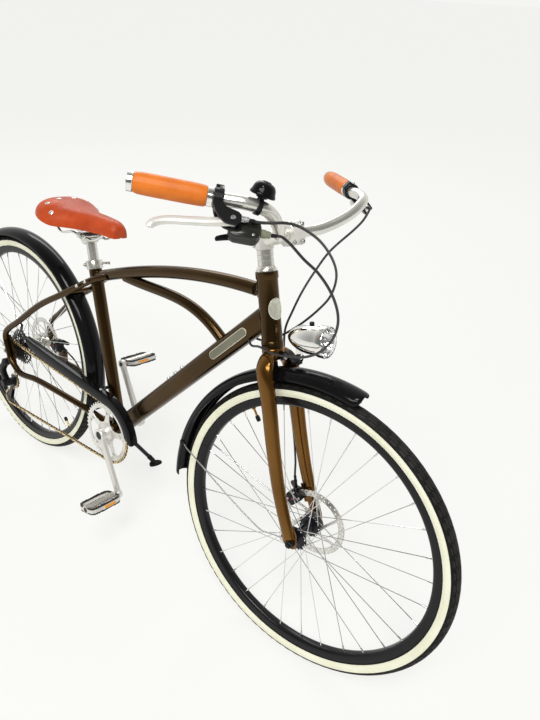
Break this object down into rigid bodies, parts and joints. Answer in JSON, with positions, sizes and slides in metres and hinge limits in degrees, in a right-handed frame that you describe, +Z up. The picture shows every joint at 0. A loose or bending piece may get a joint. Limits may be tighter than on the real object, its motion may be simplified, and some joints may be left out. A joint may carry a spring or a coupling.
{
  "type": "city bicycle",
  "caption": "City bike with swept-back bars, mudguards, disc brakes, derailleur gears, bullet headlight and kickstand, leaning on its stand.",
  "frame": {"origin": "centre of the bounding box's bottom face, on the floor under the bike as it stands on its kickstand", "axes": "+X forward along the wheelbase, +Y to the rider's left, towards which the bike leans, +Z up from the floor"},
  "size_m": [1.8378, 0.6568, 1.1085],
  "materials": {
    "bronze": "bronze-brown gloss paint",
    "gold": "golden bronze gloss paint",
    "black": "gloss black paint",
    "satin_black": "satin black",
    "black_plastic": "satin black",
    "silver": "bright, slightly brushed",
    "chrome": "mirror bright",
    "steel": "brushed",
    "chain_bronze": "bronze-coloured plate",
    "tyre": "black tread with a cream side wall",
    "cable": "black cable housing",
    "grip_leather": "tan, smooth",
    "saddle_leather": "reddish tan, smooth",
    "lamp_glass": "clear, ribbed"
  },
  "bodies": {
    "frame": {"head_tube": "bronze", "top_tubes": "bronze", "down_tube": "bronze", "seat_tube": "bronze", "rear_stays_right": "bronze", "rear_stays_left": "bronze", "seat_collar": "silver", "rear_fender": "black", "chain_guard": "black", "rear_caliper": "satin_black", "rear_axle": "satin_black", "chain": "chain_bronze", "rear_brake_cable": "cable", "shift_cable": "cable", "derailleur_body": "satin_black"},
    "fork_and_bars": {"fork": "gold", "stem": "silver", "handlebar": "silver", "grip_right": "grip_leather", "grip_left": "grip_leather", "brake_mount_right": "satin_black", "brake_mount_left": "satin_black", "bell": "black", "headlight_bracket": "satin_black", "front_fender": "black", "front_caliper": "satin_black", "front_axle": "satin_black", "front_brake_cable": "cable"},
    "front_wheel": {"front_tyre": "tyre", "front_rim": "satin_black", "front_hub": "satin_black", "front_rotor": "steel"},
    "rear_wheel": {"rear_tyre": "tyre", "rear_rim": "satin_black", "rear_hub": "satin_black", "rear_rotor": "steel"},
    "sprockets": {"cassette": "steel"},
    "crankset": {"chainring": "silver", "crank_right": "silver", "crank_left": "silver"},
    "right_pedal": {"pedal_right": "silver"},
    "left_pedal": {"pedal_left": "silver"},
    "right_brake_lever": {"brake_lever_right": "silver"},
    "left_brake_lever": {"brake_lever_left": "silver"},
    "trigger": {"shift_trigger": "black_plastic"},
    "bell_thumb_lever": {"bell_lever": "black"},
    "headlight": {"headlight_shell": "chrome", "headlight_lens": "lamp_glass"},
    "switch": {"headlight_switch": "black_plastic"},
    "seat": {"seatpost": "satin_black", "saddle_rails": "chrome", "saddle": "saddle_leather"},
    "collar_lever": {"seat_collar_lever": "silver"},
    "kickstand": {"kickstand_leg": "satin_black"},
    "shift_knuckle": {"derailleur_knuckle": "satin_black"},
    "chain_tensioner": {"derailleur_cage": "steel"},
    "upper_jockey": {"jockey_upper": "black_plastic"},
    "lower_jockey": {"jockey_lower": "black_plastic"},
    "front_brake_arm": {"front_caliper_arm": "steel"},
    "rear_brake_arm": {"rear_caliper_arm": "steel"}
  },
  "joints": [
    {"name": "steering", "type": "hinge", "parent": "frame", "child": "fork_and_bars", "pos_m": [0.40455, -0.04386, 0.72173], "axis": [-0.2988, 0.1665, 0.9397], "range_deg": [-63.5, 56.5], "deforming": ["rear_brake_cable", "shift_cable"]},
    {"name": "front_wheel_spin", "type": "hinge", "parent": "fork_and_bars", "child": "front_wheel", "pos_m": [0.57263, -0.10857, 0.34075], "axis": [-0.0583, 0.9796, -0.1921], "continuous": true},
    {"name": "rear_wheel_spin", "type": "hinge", "parent": "frame", "child": "rear_wheel", "pos_m": [-0.54529, -0.11127, 0.34149], "axis": [0, 0.9847, -0.1745], "continuous": true},
    {"name": "crank_turn", "type": "hinge", "parent": "frame", "child": "crankset", "pos_m": [-0.07331, -0.12296, 0.27542], "axis": [0, 0.9847, -0.1745], "range_deg": [-70, 195]},
    {"name": "sprocket_turn", "type": "hinge", "parent": "frame", "child": "sprockets", "pos_m": [-0.54529, -0.11127, 0.34149], "axis": [0, 0.9847, -0.1745], "range_deg": [-225, 620]},
    {"name": "right_pedal_spin", "type": "hinge", "parent": "crankset", "child": "right_pedal", "pos_m": [0.02417, -0.22062, 0.15128], "axis": [0, 0.9847, -0.1745], "continuous": true},
    {"name": "left_pedal_spin", "type": "hinge", "parent": "crankset", "child": "left_pedal", "pos_m": [-0.17079, -0.02531, 0.39956], "axis": [0, 0.9847, -0.1745], "continuous": true},
    {"name": "right_brake_squeeze", "type": "hinge", "parent": "fork_and_bars", "child": "right_brake_lever", "pos_m": [0.44362, -0.21041, 1.04557], "axis": [-0.4516, 0.3016, -0.8397], "range_deg": [0, 18], "stiffness_Nm_per_rad": 8, "springref_deg": -3.44},
    {"name": "left_brake_squeeze", "type": "hinge", "parent": "fork_and_bars", "child": "left_brake_lever", "pos_m": [0.41708, 0.23563, 0.9581], "axis": [0.3953, 0.6449, 0.6541], "range_deg": [0, 18], "stiffness_Nm_per_rad": 8, "springref_deg": -3.44},
    {"name": "front_brake_arm_turn", "type": "hinge", "parent": "fork_and_bars", "child": "front_brake_arm", "pos_m": [0.51112, -0.05388, 0.36579], "axis": [-0.0583, 0.9796, -0.1921], "range_deg": [0, 10]},
    {"name": "rear_brake_arm_turn", "type": "hinge", "parent": "frame", "child": "rear_brake_arm", "pos_m": [-0.47937, -0.04147, 0.3471], "axis": [0, 0.9847, -0.1745], "range_deg": [0, 10]},
    {"name": "shift_trigger_push", "type": "hinge", "parent": "fork_and_bars", "child": "trigger", "pos_m": [0.43887, -0.20099, 1.01876], "axis": [0.4516, -0.3016, 0.8397], "range_deg": [0, 25], "stiffness_Nm_per_rad": 1.5, "springref_deg": -5.73},
    {"name": "bell_lever_flick", "type": "hinge", "parent": "fork_and_bars", "child": "bell_thumb_lever", "pos_m": [0.45195, -0.16062, 1.05994], "axis": [0.1241, 0.3618, 0.924], "range_deg": [0, 35], "stiffness_Nm_per_rad": 0.3, "springref_deg": -11.46},
    {"name": "headlight_tilt", "type": "hinge", "parent": "fork_and_bars", "child": "headlight", "pos_m": [0.47044, -0.0395, 0.72396], "axis": [-0.0583, 0.9796, -0.1921], "range_deg": [-15, 15]},
    {"name": "headlight_button", "type": "slide", "parent": "headlight", "child": "switch", "axis": [0.2079, -0.1763, -0.9621], "range_m": [0, 0.002], "stiffness_N_per_m": 400, "springref_m": -0.002},
    {"name": "seat_height", "type": "slide", "parent": "frame", "child": "seat", "axis": [-0.2988, 0.1665, 0.9397], "range_m": [-0.025, 0.06]},
    {"name": "collar_lever_open", "type": "hinge", "parent": "frame", "child": "collar_lever", "pos_m": [-0.23839, -0.0301, 0.69919], "axis": [-0.2988, 0.1665, 0.9397], "range_deg": [0, 110]},
    {"name": "kickstand_fold", "type": "hinge", "parent": "frame", "child": "kickstand", "pos_m": [-0.16131, -0.10063, 0.24101], "axis": [0.0741, 0.8818, 0.4658], "range_deg": [0, 85]},
    {"name": "gear_shift", "type": "slide", "parent": "frame", "child": "shift_knuckle", "axis": [0, 0.9847, -0.1745], "range_m": [0, 0.027], "stiffness_N_per_m": 300, "springref_m": -0.006, "deforming": ["chain"]},
    {"name": "tensioner_swing", "type": "hinge", "parent": "shift_knuckle", "child": "chain_tensioner", "pos_m": [-0.54531, -0.19349, 0.24029], "axis": [0, 0.9847, -0.1745], "range_deg": [-10, 25], "stiffness_Nm_per_rad": 4, "deforming": ["chain"]},
    {"name": "upper_jockey_turn", "type": "hinge", "parent": "chain_tensioner", "child": "upper_jockey", "pos_m": [-0.54531, -0.18778, 0.23927], "axis": [0, 0.9847, -0.1745], "range_deg": [-785, 285]},
    {"name": "lower_jockey_turn", "type": "hinge", "parent": "chain_tensioner", "child": "lower_jockey", "pos_m": [-0.57533, -0.20087, 0.16543], "axis": [0, 0.9847, -0.1745], "range_deg": [-285, 785]}
  ],
  "couplings": [
    {"joint": "sprocket_turn", "follows": "crank_turn", "ratio": 3.1429},
    {"joint": "upper_jockey_turn", "follows": "crank_turn", "ratio": -4},
    {"joint": "lower_jockey_turn", "follows": "crank_turn", "ratio": 4},
    {"joint": "rear_brake_arm_turn", "follows": "right_brake_squeeze", "ratio": 0.5},
    {"joint": "front_brake_arm_turn", "follows": "left_brake_squeeze", "ratio": 0.5}
  ]
}
